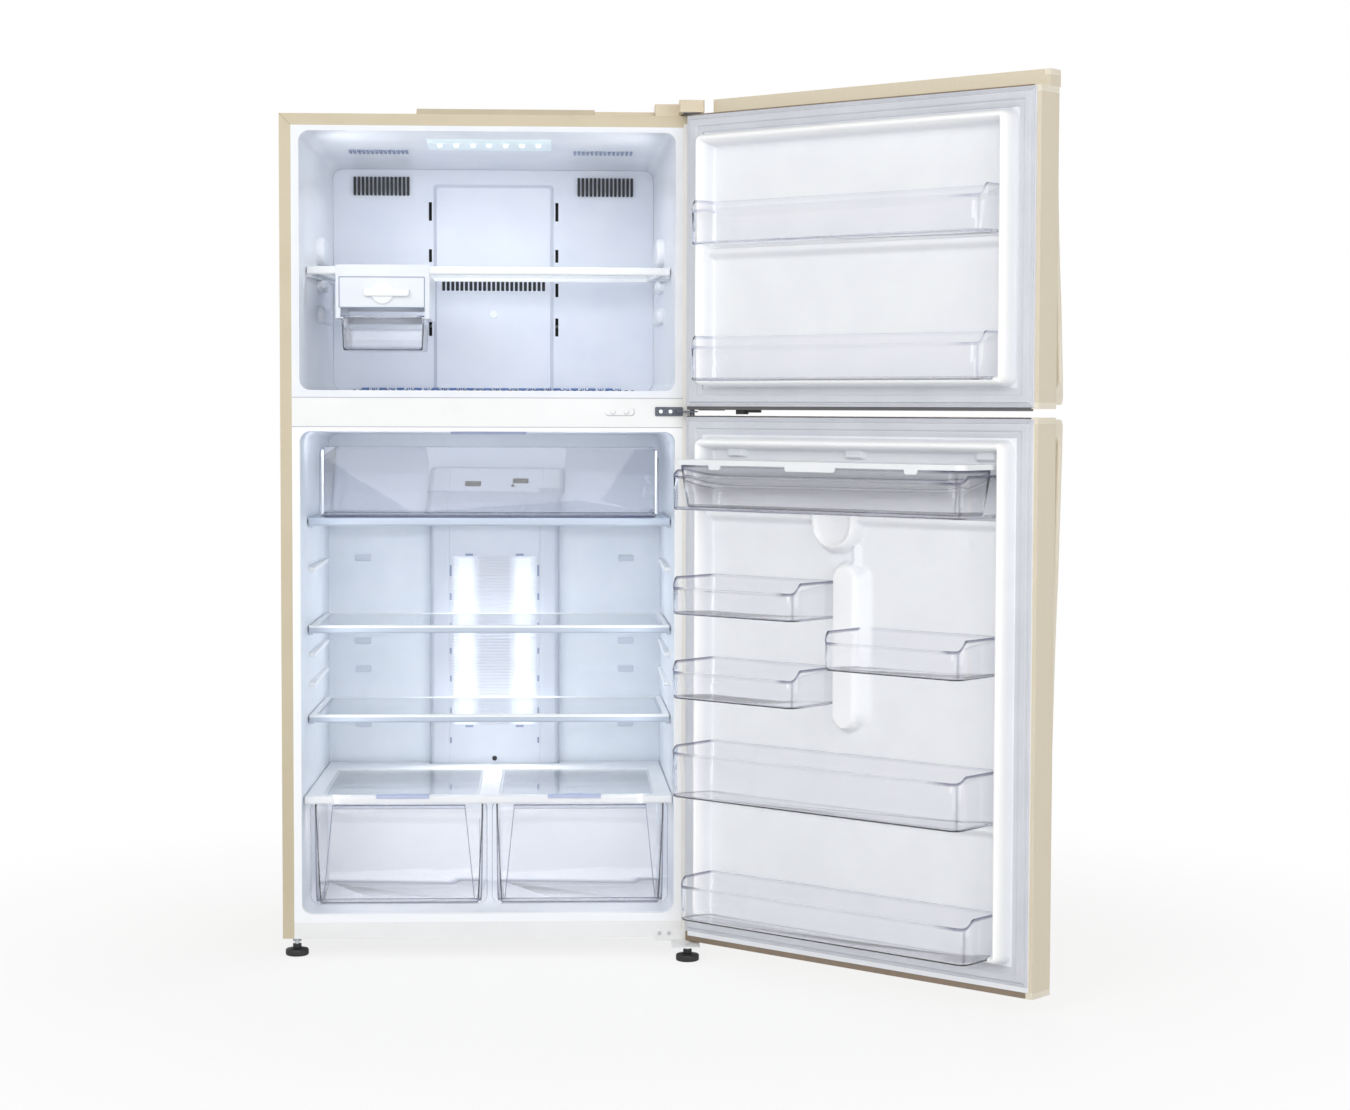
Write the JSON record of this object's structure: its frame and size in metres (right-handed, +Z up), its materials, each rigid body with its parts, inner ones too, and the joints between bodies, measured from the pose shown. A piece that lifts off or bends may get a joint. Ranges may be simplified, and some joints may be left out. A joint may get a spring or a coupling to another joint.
{
  "type": "fridge freezer",
  "caption": "Free-standing fridge freezer with the freezer on top, both doors open on right-hand hinges, showing shelves, drawers, door bins and a water tank.",
  "frame": {"origin": "on the floor under the middle of the box round the part as stored, doors open", "axes": "+Z up, +X to the right seen from the front, +Y from the front into the cabinet"},
  "size_m": [1.5362, 1.3089, 1.787],
  "materials": {
    "cabinet_paint": "satin",
    "door_paint": "satin",
    "cream_plastic": "gloss",
    "white_liner": "satin",
    "foam": "matte",
    "seal": "satin",
    "clear_plastic": "gloss",
    "shelf_glass": "gloss",
    "lamp_lens": "gloss",
    "slider_blue": "gloss",
    "steel": "satin",
    "black_paint": "satin",
    "black_plastic": "matte",
    "cold_aluminium": "satin"
  },
  "bodies": {
    "cabinet": {"cabinet_shell": "cabinet_paint", "rear_panel": "steel", "bottom_pan": "steel", "insulation_foam": "foam", "freezer_liner": "white_liner", "fridge_liner": "white_liner", "front_strips": "white_liner", "freezer_duct_panel": "white_liner", "evaporator": "cold_aluminium", "freezer_light": "lamp_lens", "fridge_duct_cover": "white_liner", "led_panel": "lamp_lens", "shelf_frames": "white_liner", "crisper_cover": "white_liner", "shelf_glass": "shelf_glass", "compressor_base": "steel", "compressor": "black_paint", "condenser": "black_paint", "drain_pan": "black_plastic", "machine_cover": "steel", "fan_motors": "black_plastic", "top_hinge": "steel", "middle_hinge": "steel", "lower_hinge": "steel", "hinge_screws": "steel", "top_covers": "cream_plastic"},
    "freezer_door": {"freezer_door_skin": "door_paint", "freezer_door_caps": "cream_plastic", "freezer_door_liner": "white_liner", "freezer_door_foam": "foam", "freezer_gasket": "seal", "freezer_handle": "cream_plastic", "freezer_bins": "clear_plastic"},
    "fridge_door": {"fridge_door_skin": "door_paint", "fridge_door_caps": "cream_plastic", "fridge_door_liner": "white_liner", "fridge_door_foam": "foam", "fridge_gasket": "seal", "fridge_handle": "cream_plastic", "water_tank": "clear_plastic", "half_bins": "clear_plastic", "wide_bins": "clear_plastic", "dispenser_alcove": "white_liner"},
    "ice_maker": {"ice_maker_frame": "white_liner"},
    "ice_twist": {"ice_tray": "white_liner", "ice_knob": "white_liner"},
    "tank_lid": {"tank_lid": "white_liner"},
    "dispenser_lever": {"dispenser_lever": "white_liner"},
    "ice_bin": {"ice_bin": "clear_plastic"},
    "chiller_drawer": {"chiller_drawer": "clear_plastic"},
    "crisper_left": {"crisper_left": "clear_plastic"},
    "crisper_right": {"crisper_right": "clear_plastic"},
    "humidity_slider_left": {"humidity_slider_left": "slider_blue"},
    "humidity_slider_right": {"humidity_slider_right": "slider_blue"},
    "foot_left": {"foot_left": "black_plastic"},
    "foot_right": {"foot_right": "black_plastic"},
    "roller_left": {"roller_left": "black_plastic"},
    "roller_right": {"roller_right": "black_plastic"},
    "evaporator_fan": {"evaporator_fan": "black_plastic"},
    "condenser_fan": {"condenser_fan": "black_plastic"}
  },
  "joints": [
    {"name": "freezer_door_swing", "type": "hinge", "parent": "cabinet", "child": "freezer_door", "pos_m": [0.0868, -0.0179, 1.1525], "axis": [0, 0, 1], "range_deg": [-137.1, 13]},
    {"name": "fridge_door_swing", "type": "hinge", "parent": "cabinet", "child": "fridge_door", "pos_m": [0.0868, -0.0179, 0.036], "axis": [0, 0, 1], "range_deg": [-137.1, 13]},
    {"name": "tank_lid_lift", "type": "hinge", "parent": "fridge_door", "child": "tank_lid", "pos_m": [0.37926, -0.32721, 1.0431], "axis": [-0.7325, 0.6807, 0], "range_deg": [0, 25]},
    {"name": "dispenser_lever_push", "type": "hinge", "parent": "fridge_door", "child": "dispenser_lever", "pos_m": [0.39282, -0.26855, 0.92], "axis": [-0.7325, 0.6807, 0], "range_deg": [0, 7], "stiffness_Nm_per_rad": 0.4},
    {"name": "ice_maker_slide", "type": "slide", "parent": "cabinet", "child": "ice_maker", "axis": [1, 0, 0], "range_m": [-0.03, 0.46]},
    {"name": "ice_knob_turn", "type": "hinge", "parent": "ice_maker", "child": "ice_twist", "pos_m": [-0.5615, 0.0922, 1.3927], "axis": [0, 1, 0], "range_deg": [0, 120], "stiffness_Nm_per_rad": 0.1},
    {"name": "ice_bin_pull", "type": "slide", "parent": "ice_maker", "child": "ice_bin", "axis": [0, -1, 0], "range_m": [0, 0.12]},
    {"name": "chiller_drawer_pull", "type": "slide", "parent": "cabinet", "child": "chiller_drawer", "axis": [0, -1, 0], "range_m": [0, 0.25]},
    {"name": "crisper_left_pull", "type": "slide", "parent": "cabinet", "child": "crisper_left", "axis": [0, -1, 0], "range_m": [0, 0.22]},
    {"name": "crisper_right_pull", "type": "slide", "parent": "cabinet", "child": "crisper_right", "axis": [0, -1, 0], "range_m": [0, 0.22]},
    {"name": "humidity_left_slide", "type": "slide", "parent": "cabinet", "child": "humidity_slider_left", "axis": [1, 0, 0], "range_m": [-0.015, 0.015]},
    {"name": "humidity_right_slide", "type": "slide", "parent": "cabinet", "child": "humidity_slider_right", "axis": [1, 0, 0], "range_m": [-0.015, 0.015]},
    {"name": "foot_left_turn", "type": "hinge", "parent": "cabinet", "child": "foot_left", "pos_m": [-0.74, 0.0245, 0], "axis": [0, 0, 1], "continuous": true},
    {"name": "foot_right_turn", "type": "hinge", "parent": "cabinet", "child": "foot_right", "pos_m": [0.0785, -0.0555, 0], "axis": [0, 0, 1], "continuous": true},
    {"name": "roller_left_roll", "type": "hinge", "parent": "cabinet", "child": "roller_left", "pos_m": [-0.718, 0.6145, 0.02], "axis": [1, 0, 0], "continuous": true},
    {"name": "roller_right_roll", "type": "hinge", "parent": "cabinet", "child": "roller_right", "pos_m": [0.042, 0.6145, 0.02], "axis": [1, 0, 0], "continuous": true},
    {"name": "evaporator_fan_spin", "type": "hinge", "parent": "cabinet", "child": "evaporator_fan", "pos_m": [-0.338, 0.5825, 1.572], "axis": [0, 1, 0], "continuous": true},
    {"name": "condenser_fan_spin", "type": "hinge", "parent": "cabinet", "child": "condenser_fan", "pos_m": [-0.413, 0.552, 0.129], "axis": [1, 0, 0], "continuous": true}
  ]
}
